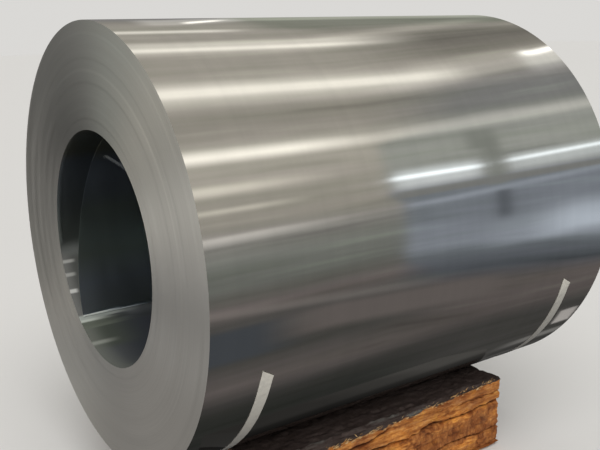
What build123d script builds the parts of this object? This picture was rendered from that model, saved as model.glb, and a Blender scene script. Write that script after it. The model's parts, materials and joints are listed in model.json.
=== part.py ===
from build123d import *
from math import cos, pi, radians, sin, sqrt, tan
import os

# A coil of bright steel strip lying on two timber baulks.
# Millimetres. X runs along the coil's axis, Y across it and Z up. The origin is on the floor,
# midway along the strip's width and midway between the baulks.
# Angles round the coil are measured in the YZ plane from +Y towards +Z.

# Strip and coil
STRIP_WIDTH = 1100.0
STRIP_GAUGE = 0.4
COIL_OD = 950.0
BORE_D = 508.0

# Groups of turns on the two end faces: each group sits a little to one side of the next
TURN_GROUPS = 9
GROUP_SHIFT = 1.2
GROUP_RAMP = 3.0

# Tail of the outer lap
TAIL_ANGLE = 240.5

# Lead end of the innermost lap, and the slanted near edge of that lap
LEAD_ANGLE = -51.0
LEAD_FADE = 60.0
LAP_EDGE_DEPTH = 28.0
LAP_EDGE_SLANT = 50.0
LAP_EDGE_ANGLE = -30.0

# Tail tapes: strips stuck over the tail, each with a slanted upper end. The far one leans outwards
# on its way down. Each is placed from its own end face.
TAPE_THICKNESS = 0.4
TAPE_GLUE = 0.1
NEAR_TAPE_WIDTH = 27.0
NEAR_TAPE_FROM_END = 116.0
NEAR_TAPE_TOP_ANGLE = 198.7
NEAR_TAPE_LEAN_ANGLE = 0.0
FAR_TAPE_WIDTH = 29.0
FAR_TAPE_FROM_END = 111.0
FAR_TAPE_TOP_ANGLE = 196.9
FAR_TAPE_LEAN_ANGLE = 5.5
TAPE_SLANT_ANGLE = 2.1
TAPE_PAST_TAIL_ANGLE = 17.0

# Baulks, which stop short of the tapes
BAULK_WIDTH = 120.0
BAULK_HEIGHT = 190.0
BAULK_SPACING = 378.0
BAULK_CHAMFER = 7.0
BAULK_TO_TAPE = 36.0
SEAT_BITE = 8.3
SEAT_CLEARANCE = 0.3

# Worked out from the sizes above
COIL_R = COIL_OD / 2
BORE_R = BORE_D / 2
HALF_WIDTH = STRIP_WIDTH / 2
SEAT_R = COIL_R - STRIP_GAUGE + SEAT_CLEARANCE
BAULK_INNER_Y = BAULK_SPACING / 2
SEAT_DROP = sqrt(SEAT_R ** 2 - BAULK_INNER_Y ** 2) - SEAT_BITE
AXIS_Z = BAULK_HEIGHT + SEAT_DROP
NEAR_TAPE_X = NEAR_TAPE_FROM_END - HALF_WIDTH
FAR_TAPE_X = HALF_WIDTH - FAR_TAPE_FROM_END - FAR_TAPE_WIDTH
BAULK_START_X = NEAR_TAPE_X + NEAR_TAPE_WIDTH + BAULK_TO_TAPE
BAULK_END_X = FAR_TAPE_X - BAULK_TO_TAPE

# Longer than any piece, for cutting tools
REACH = 2 * (STRIP_WIDTH + COIL_OD)

# The coil is turned about the X axis and lifted to its height at the end
X_SLICE = Plane(origin=(0, 0, 0), x_dir=(1, 0, 0), z_dir=(0, -1, 0))
LIFT = Location((0, 0, AXIS_Z))


def group_shift(index):
    """How far a group of turns sits towards +X. The golden ratio spreads neighbours apart."""
    return GROUP_SHIFT / 2 * cos(2 * pi * index * (sqrt(5) - 1) / 2)


def end_line(face_x):
    """X and radius along an end face, from the bore out: one flat step for each group of turns.

    The last group runs one gauge past the coil's radius, to be cut to the outer lap's spiral.
    """
    group = (COIL_R - BORE_R) / TURN_GROUPS
    points = []
    for index in range(TURN_GROUPS):
        first = index == 0
        last = index == TURN_GROUPS - 1
        inner = BORE_R if first else BORE_R + index * group + GROUP_RAMP / 2
        outer = COIL_R + STRIP_GAUGE if last else BORE_R + (index + 1) * group - GROUP_RAMP / 2
        points.append((face_x + group_shift(index), inner))
        points.append((face_x + group_shift(index), outer))
    return points


def along_x(radius, centre_y=0.0, centre_z=0.0, length=REACH):
    """A cylinder along X, centred on the coil's middle."""
    place = Location((0, centre_y, centre_z)) * Location((0, 0, 0), (0, 90, 0))
    return place * Cylinder(radius, length)


def quarter_below(angle):
    """A block that fills the 90 degrees just below the given angle."""
    block = Location((0, REACH / 2, -REACH / 2)) * Box(REACH, REACH, REACH)
    return Location((0, 0, 0), (angle, 0, 0)) * block


def spiral_prism():
    """The outer lap's spiral as four quarter arcs, whose centres walk round a small square.

    The radius grows by one gauge in a full turn, so the outline ends in the tail's step.
    """
    step = STRIP_GAUGE / 4
    radius = COIL_R - STRIP_GAUGE
    centre = Vector(0, 0)
    arcs = []
    for quarter in range(4):
        arcs.append(CenterArc(centre, radius, 90 * quarter, 90))
        finish = radians(90 * (quarter + 1))
        centre = centre - Vector(cos(finish), sin(finish)) * step
        radius = radius + step
    tail = Line(arcs[-1] @ 1, arcs[0] @ 0)
    outline = make_face(arcs + [tail])
    prism = extrude(Plane.YZ * outline, REACH / 2, both=True)
    return Location((0, 0, 0), (TAIL_ANGLE, 0, 0)) * prism


def lead_relief():
    """The clearance just past the lead end, where the lap above stops and the next one shows.

    It is an eccentric cylinder that stands one gauge out of the bore at the lead end and
    runs back into the bore wall LEAD_FADE degrees further on.
    """
    offset = STRIP_GAUGE / (1 - cos(radians(LEAD_FADE)))
    radius = BORE_R + STRIP_GAUGE - offset
    lead = radians(LEAD_ANGLE)
    return along_x(radius, offset * cos(lead), offset * sin(lead)) & quarter_below(LEAD_ANGLE)


def lap_edge_relief():
    """The ring in front of the innermost lap, whose near edge is a slanted plane's cut."""
    ring = along_x(BORE_R + STRIP_GAUGE)
    slope = LAP_EDGE_SLANT / BORE_R
    high = radians(LAP_EDGE_ANGLE + 90)
    normal = Vector(1, -slope * cos(high), -slope * sin(high))
    face = Plane(origin=(LAP_EDGE_DEPTH - HALF_WIDTH, 0, 0), z_dir=normal)
    front = extrude(face * Rectangle(REACH, REACH), -REACH)
    return (ring & front) - quarter_below(LEAD_ANGLE)


def make_coil():
    """One turned solid with its bore, the tail's step outside and the lead end's step inside."""
    near = end_line(-HALF_WIDTH)
    far = end_line(HALF_WIDTH)
    profile = make_face(Polyline(near + far[::-1], close=True))
    turned = revolve(X_SLICE * profile, Axis.X, 360)
    wound = turned & spiral_prism()
    return LIFT * (wound - lead_relief() - lap_edge_relief())


def make_baulk(side):
    """A hewn timber with chamfered arrises, its inner top edge cut to the coil's radius."""
    length = BAULK_END_X - BAULK_START_X
    middle_x = (BAULK_START_X + BAULK_END_X) / 2
    middle_y = side * (BAULK_INNER_Y + BAULK_WIDTH / 2)
    section = Rectangle(BAULK_WIDTH, BAULK_HEIGHT)
    arrises = [corner for corner in section.vertices() if corner.Y < 0 or corner.X * side > 0]
    section = chamfer(arrises, BAULK_CHAMFER)
    timber = extrude(Plane.YZ * section, length / 2, both=True)
    timber = Location((middle_x, middle_y, BAULK_HEIGHT / 2)) * timber
    return timber - LIFT * along_x(SEAT_R)


def make_tape(left, width, top, lean):
    """A thin strip bent round the coil: a shell cut to a leaning outline with a slanted top."""
    bottom = TAIL_ANGLE + TAPE_PAST_TAIL_ANGLE
    middle = (top + bottom) / 2
    inner_r = COIL_R + TAPE_GLUE
    outer_r = inner_r + TAPE_THICKNESS
    shell = along_x(outer_r) - along_x(inner_r)

    def down(angle):
        return outer_r * sin(radians(angle - middle))

    drift = (down(bottom) - down(top)) * tan(radians(lean))
    right = left + width
    outline = Polyline(
        (left, down(top)),
        (right, down(top + TAPE_SLANT_ANGLE)),
        (right + drift, down(bottom)),
        (left + drift, down(bottom)),
        close=True,
    )
    facing = Plane(
        origin=(0, 0, 0),
        x_dir=(1, 0, 0),
        z_dir=(0, -cos(radians(middle)), -sin(radians(middle))),
    )
    cutter = extrude(facing * make_face(outline), -REACH / 2)
    return LIFT * (shell & cutter)


def main():
    os.makedirs("parts", exist_ok=True)
    parts = {
        "coil": make_coil(),
        "tail_tape_near": make_tape(
            NEAR_TAPE_X, NEAR_TAPE_WIDTH, NEAR_TAPE_TOP_ANGLE, NEAR_TAPE_LEAN_ANGLE
        ),
        "tail_tape_far": make_tape(
            FAR_TAPE_X, FAR_TAPE_WIDTH, FAR_TAPE_TOP_ANGLE, FAR_TAPE_LEAN_ANGLE
        ),
        "bearer_front": make_baulk(-1),
        "bearer_back": make_baulk(1),
    }
    for name, part in parts.items():
        export_step(part, f"parts/{name}.step")


main()
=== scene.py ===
"""A coil of bright steel strip on two timber baulks: its looks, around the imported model.

Metres. X runs along the coil's axis, Y across it and Z up, with the floor at zero.
Angles round the coil are in degrees in the YZ plane, from +Y towards +Z.
"""
import json
from dataclasses import dataclass

import bmesh
import bpy
import numpy as np
from mathutils import Matrix, Vector


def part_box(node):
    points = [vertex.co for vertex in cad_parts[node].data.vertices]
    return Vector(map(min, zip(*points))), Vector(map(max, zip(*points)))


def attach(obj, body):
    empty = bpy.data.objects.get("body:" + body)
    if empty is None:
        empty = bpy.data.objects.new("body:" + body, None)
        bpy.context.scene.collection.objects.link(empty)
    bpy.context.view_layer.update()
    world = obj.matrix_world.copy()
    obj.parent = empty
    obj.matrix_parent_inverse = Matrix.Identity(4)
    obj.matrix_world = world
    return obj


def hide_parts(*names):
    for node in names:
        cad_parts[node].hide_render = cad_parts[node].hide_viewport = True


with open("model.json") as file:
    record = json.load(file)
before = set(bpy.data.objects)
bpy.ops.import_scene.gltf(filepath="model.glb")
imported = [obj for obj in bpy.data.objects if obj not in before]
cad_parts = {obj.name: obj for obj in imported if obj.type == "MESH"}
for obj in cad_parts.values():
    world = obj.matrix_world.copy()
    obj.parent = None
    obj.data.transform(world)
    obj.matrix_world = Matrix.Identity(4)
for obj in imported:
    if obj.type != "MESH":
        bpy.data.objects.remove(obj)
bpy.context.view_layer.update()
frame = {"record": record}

# The coil, measured on the frame
BORE = next(mount for mount in frame["record"]["mounts"] if mount["name"] == "bore")
AXIS_Z = BORE["pos_m"][2]
BORE_R = BORE["dims"]["r_mm"] / 1000
STRIP_WIDTH = BORE["dims"]["length_mm"] / 1000
NEAR_X = -STRIP_WIDTH / 2
COIL_R = -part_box("coil")[0].y

# The strip, as it is wound
STRIP_GAUGE = 0.0004
TAIL_ANGLE = 240.5
LEAD_ANGLE = -51.0

# Where the photograph was taken from: coil radii from the middle of the near end, and degrees
CAMERA_PLACE = (-1.327, -3.463, 0.951)
CAMERA_AZIMUTH = 34.97
CAMERA_DOWN = 13.35
CAMERA_ROLL = 1.13
LENS = 50.0

BODY = "root"
ONE_QUAD = [(0, 1, 2, 3)]
rad = np.radians


# Shapes


def around(x, radius, angle):
    """Points at the given X, radius and angle in degrees round the coil's axis."""
    x, radius, angle = np.broadcast_arrays(x, radius, angle)
    return np.stack([x, radius * np.cos(rad(angle)), AXIS_Z + radius * np.sin(rad(angle))], -1)


def smooth(value, low, high):
    """0 below low, 1 above high and an S-curve between them."""
    share = np.clip((value - low) / (high - low), 0, 1)
    return share * share * (3 - 2 * share)


def wave_noise(u, v, cells_u, cells_v, seed):
    """Smooth noise from 0 to 1: random values on a lattice, blended by cosines between its points.

    u and v run from 0 to 1 over the surface, and the noise closes on itself in u.
    """
    lattice = np.random.default_rng(seed).random((cells_u, cells_v + 2))
    u, v = np.broadcast_arrays((np.asarray(u) % 1) * cells_u, np.asarray(v) * cells_v)
    cell_u, cell_v = u.astype(int) % cells_u, np.clip(v.astype(int), 0, cells_v)
    blend_u = (1 - np.cos(np.pi * (u - np.floor(u)))) / 2
    blend_v = (1 - np.cos(np.pi * (v - cell_v))) / 2
    next_u = (cell_u + 1) % cells_u
    low, high = [
        lattice[cell_u, row] * (1 - blend_u) + lattice[next_u, row] * blend_u
        for row in (cell_v, cell_v + 1)
    ]
    return low * (1 - blend_v) + high * blend_v


def line_noise(along, cells, seed):
    """Smooth noise from 0 to 1 along a line, whose ends are at 0 and 1."""
    return wave_noise(0, along, 1, cells, seed)


def grid_quads(count_u, count_v, wrap_u=False, wrap_v=False):
    """Corner numbers of the quads of a grid, closed on itself in u or v where asked."""
    first = np.arange(count_u * count_v).reshape(count_u, count_v)
    second = np.roll(first, -1, 0)
    quads = np.stack([first, second, np.roll(second, -1, 1), np.roll(first, -1, 1)], -1)
    return quads[:count_u - (not wrap_u), :count_v - (not wrap_v)].reshape(-1, 4)


def new_object(name, data):
    thing = bpy.data.objects.new(name, data)
    bpy.context.scene.collection.objects.link(thing)
    return thing


def new_mesh(name, points, faces, material):
    """A mesh object of one material."""
    mesh = bpy.data.meshes.new(name)
    mesh.from_pydata(np.reshape(points, (-1, 3)).tolist(), [], [tuple(face) for face in faces])
    mesh.materials.append(material)
    return new_object(name, mesh)


def set_layers(thing, layers):
    """Keep named values at an object's points, for its material to read."""
    for name, values in layers.items():
        layer = thing.data.attributes.new(name, "FLOAT", "POINT")
        layer.data.foreach_set("value", np.ascontiguousarray(values, dtype=np.float32).ravel())


def make_piece(name, points, faces, material, sharp, weld=0.0):
    """A mesh piece from points and faces, smooth but for edges over the sharp angle."""
    piece = new_mesh(name, points, faces, material)
    mesh = piece.data
    shape = bmesh.new()
    shape.from_mesh(mesh)
    if weld:
        bmesh.ops.remove_doubles(shape, verts=shape.verts, dist=weld)
    bmesh.ops.recalc_face_normals(shape, faces=shape.faces)
    shape.to_mesh(mesh)
    shape.free()
    mesh.polygons.foreach_set("use_smooth", np.ones(len(mesh.polygons), bool))
    mesh.set_sharp_from_angle(angle=rad(sharp))
    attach(piece, BODY)
    return piece


def loft(name, sections, material, sharp):
    """A closed solid: a closed section carried along a path, with its first and last ones capped."""
    count_u, count_v = sections.shape[:2]
    quads = grid_quads(count_u, count_v, wrap_v=True).tolist()
    first = list(range(count_v))[::-1]
    last = [(count_u - 1) * count_v + v for v in range(count_v)]
    return make_piece(name, sections, quads + [first, last], material, sharp)


def bent_sheet(name, x, angle, front, back, material, sharp):
    """A thin sheet bent round the coil: each section runs out at one radius and returns at another."""
    x, angle, front, back = np.broadcast_arrays(x, angle, front, back)
    pairs = ((x, x), (front, back), (angle, angle))
    sections = around(*[np.concatenate([out, home[:, ::-1]], 1) for out, home in pairs])
    return loft(name, sections, material, sharp)


# The coil

TURN_GROUPS = 9
GROUP_SHIFT = 0.0005
GROUP_BLEND = 0.9
GOLDEN = (np.sqrt(5) - 1) / 2
RINGS = 84
RING_RAISE = 0.00004
WALL_STEPS = 20
BORE_STEPS = 8
COLUMNS = 480


def group_shift(share):
    """How far the turns at this share of the wound depth sit towards +X, in nine groups."""
    group = np.clip(share * TURN_GROUPS, 0, TURN_GROUPS - 1e-6)
    index = np.floor(group)
    blend = smooth(group - index, GROUP_BLEND, 1.0) * (index < TURN_GROUPS - 1)
    low, high = [GROUP_SHIFT / 2 * np.cos(2 * np.pi * number * GOLDEN) for number in (index, index + 1)]
    return low * (1 - blend) + high * blend


def face_vectors(mesh, label):
    """A vector for each face of a mesh, such as its normal or its centre."""
    values = np.zeros(len(mesh.polygons) * 3)
    mesh.polygons.foreach_get(label, values)
    return values.reshape(-1, 3)


def make_coil(material, edge_material, bore_material):
    """The wound strip as one closed surface of revolution whose outer radius is a spiral.

    A profile of X and share of the wound depth runs out along the near end, along the wall, in
    along the far end and back through the bore. The share turns into a radius between the
    bore's and the spiral's, which grows by one gauge in a turn and steps down at the tail.
    Each end stands proud by the shift of its group of turns and by a small raise of each ring.
    """
    share = np.linspace(0, 1, RINGS + 1)
    raises = (np.random.default_rng(3).random((2, RINGS + 1)) - 0.5) * 2 * RING_RAISE
    near = NEAR_X + group_shift(share) + raises[0]
    far = -NEAR_X + group_shift(share) + raises[1]
    wall = np.linspace(near[-1], far[-1], WALL_STEPS + 2)[1:-1]
    bore = np.linspace(far[0], near[0], BORE_STEPS + 2)[1:-1]
    profile_x = np.concatenate([near, wall, far[::-1], bore])
    profile_share = np.concatenate([share, np.ones(WALL_STEPS), share[::-1], np.zeros(BORE_STEPS)])

    turn = np.linspace(0, 1, COLUMNS + 1)[:, None]
    outer = COIL_R - STRIP_GAUGE * (1 - turn)
    inner = BORE_R + STRIP_GAUGE
    radius = inner + (outer - inner) * profile_share
    points = around(profile_x, radius, TAIL_ANGLE + 360 * turn)
    quads = grid_quads(COLUMNS + 1, len(profile_x), True, True)
    coil = make_piece("wound_strip", points, quads, material, 30, STRIP_GAUGE / 20)
    coil.data.materials.append(edge_material)
    coil.data.materials.append(bore_material)

    centres, normals = face_vectors(coil.data, "center"), face_vectors(coil.data, "normal")
    depth = np.hypot(centres[:, 1], centres[:, 2] - AXIS_Z)
    on_end = np.abs(normals[:, 0]) > 0.7
    in_bore = ~on_end & (depth < (BORE_R + COIL_R) / 2)
    coil.data.polygons.foreach_set("material_index", (on_end * 1 + in_bore * 2).astype(np.int32))
    coil.data.update()
    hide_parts("coil")


LAP_EDGE_DEPTH = 0.028
LAP_EDGE_SLANT = 0.05
LAP_EDGE_ANGLE = -30.0
LAP_SETBACK = 0.0008
LAP_TURN = 352
LAP_LAY = 0.98
LIP_REACH = 2.4
LIP_RAISE = 0.0016
LIP_EASE = 0.1
LIP_EASE_REACH = 5
LAP_COLUMNS = 300
LAP_ROWS = 40


def make_inner_lap(material):
    """The innermost lap: a sheet one gauge thick on the bore wall, from the lead end round.

    Its near edge is a slanted plane's cut, so its depth follows a sine of the angle. The lead
    end lifts into the bore by an S-curve over its last few degrees, with a small part of the
    lift dying away slowly beyond. The columns lie closer near the lead end, by a power.
    """
    angle = LEAD_ANGLE + np.linspace(0, 1, LAP_COLUMNS)[:, None] ** 1.6 * LAP_TURN
    depth = LAP_EDGE_DEPTH + LAP_EDGE_SLANT * np.sin(rad(angle - LAP_EDGE_ANGLE))
    near = NEAR_X + group_shift(0.0) + np.clip(depth, LAP_SETBACK, None)
    far = -NEAR_X + group_shift(0.0) - LAP_SETBACK
    x = near + (far - near) * np.linspace(0, 1, LAP_ROWS)
    lip = LIP_RAISE * (1 - smooth(angle, LEAD_ANGLE, LEAD_ANGLE + LIP_REACH))
    ease = lip.max() * LIP_EASE * np.exp(-(angle - LEAD_ANGLE) / LIP_EASE_REACH)
    outer = BORE_R + STRIP_GAUGE * LAP_LAY - (lip * (1 - LIP_EASE) + ease)
    bent_sheet("inner_lap", x, angle, outer, outer - STRIP_GAUGE, material, 60)


# Tapes

TAPE_THICKNESS = 0.0004
TAPE_LAY = 0.0001
TAPE_STEPS = 90
TAPE_ACROSS = 7
TAPE_SLANT = 2.1
TAPE_PAST_TAIL = 17.0
EDGE_RIPPLE = 0.0012
CORNER_LIFT = 0.0016
CORNER_REACH = 0.8
TAPE_RIPPLE = 0.0003


def make_tape(name, node, top, lean, seed, material):
    """A paper tape bent round the coil, from its slanted upper end to its square lower one.

    Across, the section is a flat strip. Along, it follows the coil, drifting sideways by the
    lean, with a slight ripple in its edges and its upper corners lifting off.
    """
    low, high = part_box(node)
    bottom = TAIL_ANGLE + TAPE_PAST_TAIL
    along = np.linspace(0, 1, TAPE_STEPS)[:, None]
    across = np.linspace(0, 1, TAPE_ACROSS)
    drift = 2 * COIL_R * np.sin(rad((bottom - top) / 2)) * np.tan(rad(lean))
    width = (high.x - low.x) - drift
    start = top + TAPE_SLANT * across
    angle = start + (bottom - start) * along
    travelled = (angle - top) / (bottom - top)
    edge = (wave_noise(along, across, 11, 1, seed) - 0.5) * EDGE_RIPPLE
    x = low.x + width * across + drift * travelled + edge * np.abs(across - 0.5) * 2
    lift = CORNER_LIFT * np.exp(-(angle - start) / CORNER_REACH) * (0.4 + 0.6 * across)
    ripple = TAPE_RIPPLE * wave_noise(along, across, 23, 3, seed + 1)
    inner = COIL_R + TAPE_LAY + lift + ripple
    tape = bent_sheet(name, x, angle, inner, inner + TAPE_THICKNESS, material, 50)
    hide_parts(node)


# Timber baulks

BAULK_ROWS = 300
FACE_PITCH = 0.0017
SEAT_R = COIL_R - STRIP_GAUGE + 0.0003

# How deep each kind of wear goes, and how far each wandering line strays
HEWN = 0.0035
FIBRE = 0.0014
STROKE = 0.001
CHIP = 0.012
KNOB = 0.0042
ARRIS = 0.012
SET_BACK = 0.003
OLD_SKIN = 0.0015
SAWN_END = 0.003
LEAST_WEAR = 0.0002
SPLIT_WANDER = 0.012
SPLIT_JAGS = 0.0035
SPLIT_FADE = 0.05
SKIN_TORN = 0.009
SKIN_TORN_MORE = 0.016
SKIN_RAGGED = 0.008
SKIN_FRAYED = 0.004

# Splits along the outer face: from and to X, level at each as a share of the height, opening, depth
FRONT_SPLITS = (
    (-0.4, 0.4, 0.56, 0.665, 0.003, 0.016),
    (0.2, 0.4, 0.775, 0.8, 0.0013, 0.009),
    (0.1, 0.4, 0.235, 0.27, 0.0016, 0.01),
    (-0.24, 0.03, 0.72, 0.79, 0.0026, 0.012),
    (-0.36, 0.02, 0.33, 0.28, 0.0018, 0.01),
)
BACK_SPLITS = (
    (-0.4, 0.22, 0.62, 0.55, 0.0022, 0.013),
    (-0.1, 0.4, 0.34, 0.3, 0.0018, 0.011),
    (-0.3, -0.05, 0.8, 0.77, 0.0015, 0.009),
)


def perimeter(width, height):
    """Points round a rectangle from its lower outer corner, up, across, down and back, with normals.

    They lie closest on the outer face, and two, four and six times as far apart on the others.
    """
    up, over, down, back = [
        np.linspace(0, 1, int(length / FACE_PITCH / coarse), endpoint=False)
        for length, coarse in ((height, 1), (width, 2), (height, 4), (width, 6))
    ]
    y = np.concatenate([up * 0, over * width, down * 0 + width, width - back * width])
    z = np.concatenate([up * height, over * 0 + height, height - down * height, back * 0])
    counts = [len(up), len(over), len(down), len(back)]
    return y, z, np.repeat([-1.0, 0.0, 1.0, 0.0], counts), np.repeat([0.0, 1.0, 0.0, -1.0], counts)


def inward(low, high, side, depth):
    """Y at a depth in from a baulk's outer face."""
    return (low.y if side < 0 else high.y) - side * depth


def stain_line(along, x, height, baulk_seed):
    """How high the fresh wood reaches on the outer face: the dark old skin is torn off below it."""
    torn = SKIN_TORN + SKIN_TORN_MORE * (1 - smooth(x, -0.2, 0.34))
    ragged = line_noise(along, 34, baulk_seed + 40) * SKIN_RAGGED
    frayed = line_noise(along, 110, baulk_seed + 41) * SKIN_FRAYED
    return height - torn - ragged - frayed + 0.004


def make_baulk(name, node, side, splits, seed, material):
    """A rough hewn timber: a rectangle's outline carried along X and worn inwards by noise.

    Long noise along the grain makes the hewn flats, short noise the broken fibres, noise drawn
    out across the grain the tool's strokes, and squared noise the knobs where wood broke off.
    Each split is a bell-shaped notch that wanders along the grain, and the wood under the first
    one stands back. The arrises are rounded unevenly, and the top's inner edge is cut to the
    seat's radius. Splits, the old skin with the top's painted shade, the painted sheen along the
    skin's edge and the top's outer arris, and the lower wood are kept as layers.
    """
    low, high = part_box(node)
    width, height, length = high.y - low.y, high.z - low.z, high.x - low.x
    y, z, out_y, out_z = perimeter(width, height)
    along = np.linspace(0, 1, BAULK_ROWS)[:, None]
    turn = np.arange(len(y)) / len(y)
    x = low.x + length * along
    outer, top = (out_y < 0) * 1.0, out_z > 0

    def rough(cells_round, cells_along, number):
        """Noise over the whole outside."""
        return wave_noise(turn, along, cells_round, cells_along, seed + number)

    def stray(cells, number, reach):
        """Noise along X alone, to either side."""
        return (line_noise(along, cells, seed + number) - 0.5) * reach

    wear_and_sheen = rough(22, 6, 0) * HEWN + rough(150, 40, 1) * FIBRE + rough(60, 150, 2) * STROKE
    wear_and_sheen = wear_and_sheen + np.clip(rough(60, 22, 3) - 0.74, 0, 1) * CHIP + rough(40, 56, 4) ** 2 * KNOB

    split = np.zeros((BAULK_ROWS, len(y)))
    for number, (start, stop, first, last, opening, depth) in enumerate(splits):
        share = np.clip((x - start) / (stop - start), 0, 1)
        middle = (first + (last - first) * share) * height
        middle = middle + stray(12, 10 + number, SPLIT_WANDER) + stray(60, 20 + number, SPLIT_JAGS)
        wide = opening * (1.0 + stray(16, 30 + number, 1.0))
        fade = smooth(x, start, start + SPLIT_FADE) * (1 - smooth(x, stop - SPLIT_FADE, stop))
        notch = np.exp(-(((z - middle) / wide) ** 2)) * fade * outer
        split = np.maximum(split, notch)
        wear_and_sheen = wear_and_sheen + depth * notch
        if number == 0:
            under = (1 - smooth(z, middle - 0.004, middle + 0.001)) * outer
            wear_and_sheen = wear_and_sheen + SET_BACK * under

    fresh = stain_line(along, x, height, seed)
    # The dark old skin above the torn line on the outer face is real; the top is all skin, a painted shade
    # where the coil shades it.
    skin = np.where(out_y < 0, smooth(z, fresh - 0.0012, fresh + 0.0012), np.where(top, 1.0, 0.55))
    # Painted sheen: a grey streak just above the torn line and along the top's outer arris.
    edge = np.exp(-(((z - fresh - 0.007) / 0.005) ** 2)) * outer + np.exp(-((y / 0.01) ** 2)) * top
    edge = edge * smooth(rough(30, 10, 42), 0.3, 0.7)

    wear_and_sheen = np.clip(wear_and_sheen - OLD_SKIN * skin * outer, LEAST_WEAR, None)
    corner = np.minimum(y, width - y) + np.minimum(z, height - z)
    arris = np.clip(ARRIS - corner, 0, 1) * (0.25 + 0.6 * rough(40, 18, 5))
    from_side = np.where(y < width / 2, 1, -1) * arris * (out_z != 0)
    from_top = np.where(z > height / 2, 1, -1) * arris * (out_y != 0)
    y = np.clip(y - out_y * wear_and_sheen * (z > 0.004) + from_side, LEAST_WEAR, width)
    z = np.clip(z - out_z * wear_and_sheen * top - from_top, 0, height)

    world_y = inward(low, high, side, y)
    z = np.minimum(z, AXIS_Z - np.sqrt(np.clip(SEAT_R**2 - world_y**2, 0, None)))
    ends = (rough(14, 2, 7) - 0.5) * SAWN_END
    x = x + (0.5 - along) * SAWN_END + ends * smooth(np.abs(along - 0.5), 0.48, 0.5)
    sections = np.stack(np.broadcast_arrays(x, world_y, z), -1)
    baulk = loft(name, sections, material, 50)
    set_layers(baulk, {"split": split, "skin": skin, "edge": edge, "lower": under})
    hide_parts(node)


SPLINTERS = 260


def make_splinters(name, node, side, seed, baulk_seed, material):
    """Torn fibres along the line where the old skin broke off: slim spikes, each its own solid.

    Each is a flat pyramid: four corners set about its root by its thickness, and a tip at its
    length along a direction that leans up and out of the wood.
    """
    low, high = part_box(node)
    dice = np.random.default_rng(seed)

    def drawn(least, most):
        return dice.uniform(least, most, SPLINTERS)

    def unit(vectors):
        return vectors / np.linalg.norm(vectors, axis=1, keepdims=True)

    length = drawn(0.004, 0.016) * dice.choice([1.0, 1.0, 1.6], SPLINTERS)
    thick = drawn(0.0005, 0.0014)
    x = drawn(low.x + 0.02, high.x - 0.02)
    line = stain_line((x - low.x) / (high.x - low.x), x, high.z - low.z, baulk_seed) + low.z
    y = inward(low, high, side, drawn(0.0025, 0.006))
    root = np.stack([x, y, line + drawn(-0.005, 0.003)], -1)
    lean = drawn(0.05, 0.9)
    spin = dice.choice([-1.0, 1.0, 1.0], SPLINTERS)
    ahead = unit(np.stack([spin * np.cos(lean), drawn(0.0, 0.35) * side, np.sin(lean)], -1))
    aside = unit(np.cross(ahead, [0.0, 1.0, 0.0]))
    above = np.cross(aside, ahead)
    corners = [(-1, -0.6), (1, -0.6), (1, 0.6), (-1, 0.6)]
    base = [root + (aside * a + above * b) * thick[:, None] for a, b in corners]
    tip = root + ahead * length[:, None]
    tip[:, 2] = np.minimum(tip[:, 2], high.z + 0.003)
    first = np.arange(SPLINTERS)[:, None, None] * 5
    sides = (np.array([(0, 1, 4), (1, 2, 4), (2, 3, 4), (3, 0, 4)]) + first).reshape(-1, 3)
    caps = (np.array([(3, 2, 1, 0)]) + first).reshape(-1, 4)
    points = np.stack(base + [tip], 1)
    make_piece(name, points, sides.tolist() + caps.tolist(), material, 20)


# Materials


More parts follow.
